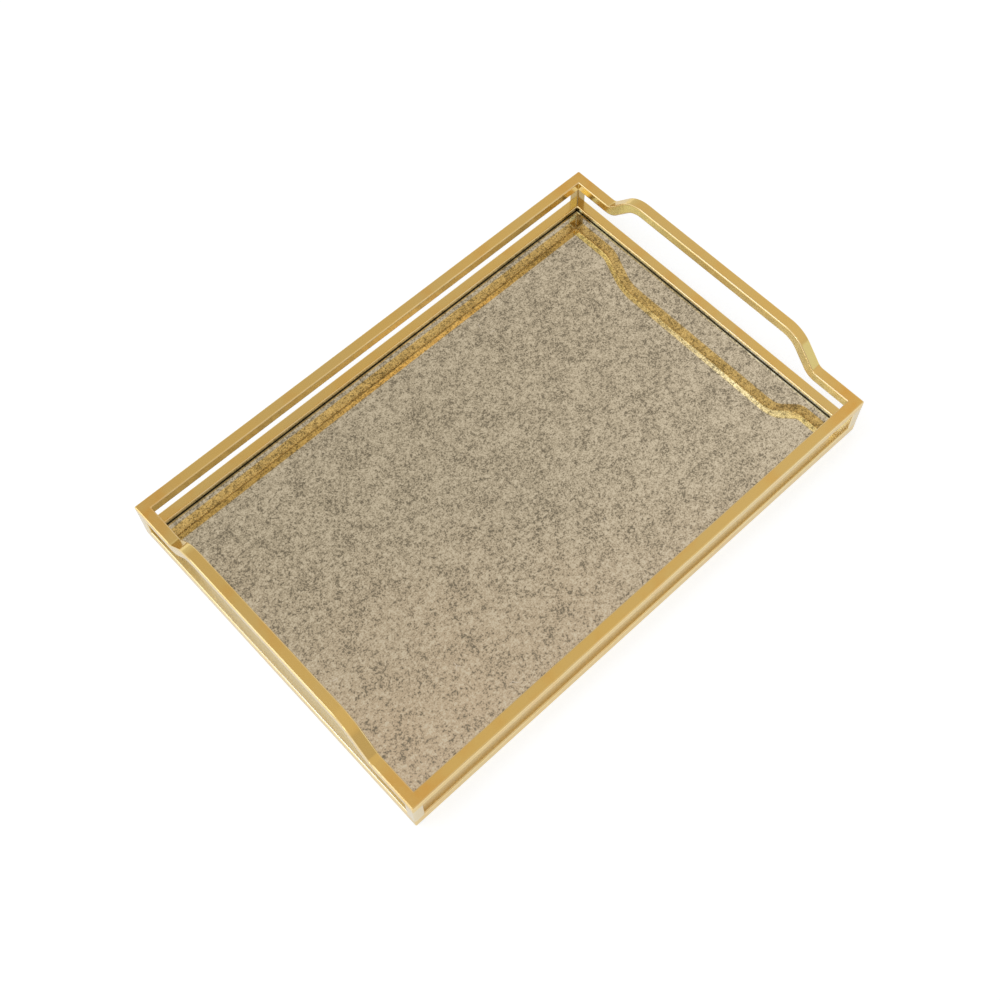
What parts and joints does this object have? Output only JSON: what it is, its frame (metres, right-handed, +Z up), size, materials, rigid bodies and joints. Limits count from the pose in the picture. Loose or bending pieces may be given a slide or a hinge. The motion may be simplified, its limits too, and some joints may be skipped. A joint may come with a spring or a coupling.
{
  "type": "vanity tray",
  "caption": "Rectangular open-gallery vanity tray of square gold bar with raised end handles and an antiqued mirror floor.",
  "frame": {"origin": "on the surface the tray stands on, under the middle of the tray", "axes": "+X along the long sides, with the handles on the +X and -X sides; +Z up; +Y across, towards the back long side"},
  "size_m": [0.4, 0.27, 0.061],
  "materials": {
    "brushed_gold": "brushed and lightly polished gold plate",
    "antiqued_silvering": "polished glass over foxed silvering with dark specks",
    "hardboard": "dark painted hardboard",
    "screw_steel": "plain machined steel",
    "bumper_rubber": "soft matt rubber"
  },
  "bodies": {
    "root": {"upper_rail_front": "brushed_gold", "upper_rail_back": "brushed_gold", "handle_rail_right": "brushed_gold", "handle_rail_left": "brushed_gold", "lower_rail_front": "brushed_gold", "lower_rail_right": "brushed_gold", "lower_rail_back": "brushed_gold", "lower_rail_left": "brushed_gold", "ledge_front": "brushed_gold", "ledge_right": "brushed_gold", "ledge_back": "brushed_gold", "ledge_left": "brushed_gold", "corner_post_1": "brushed_gold", "corner_post_2": "brushed_gold", "corner_post_3": "brushed_gold", "corner_post_4": "brushed_gold", "antique_mirror": "antiqued_silvering", "backing_board": "hardboard", "post_screw_1": "screw_steel", "post_screw_2": "screw_steel", "post_screw_3": "screw_steel", "post_screw_4": "screw_steel", "bumper_foot_1": "bumper_rubber", "bumper_foot_2": "bumper_rubber", "bumper_foot_3": "bumper_rubber", "bumper_foot_4": "bumper_rubber"}
  },
  "joints": []
}
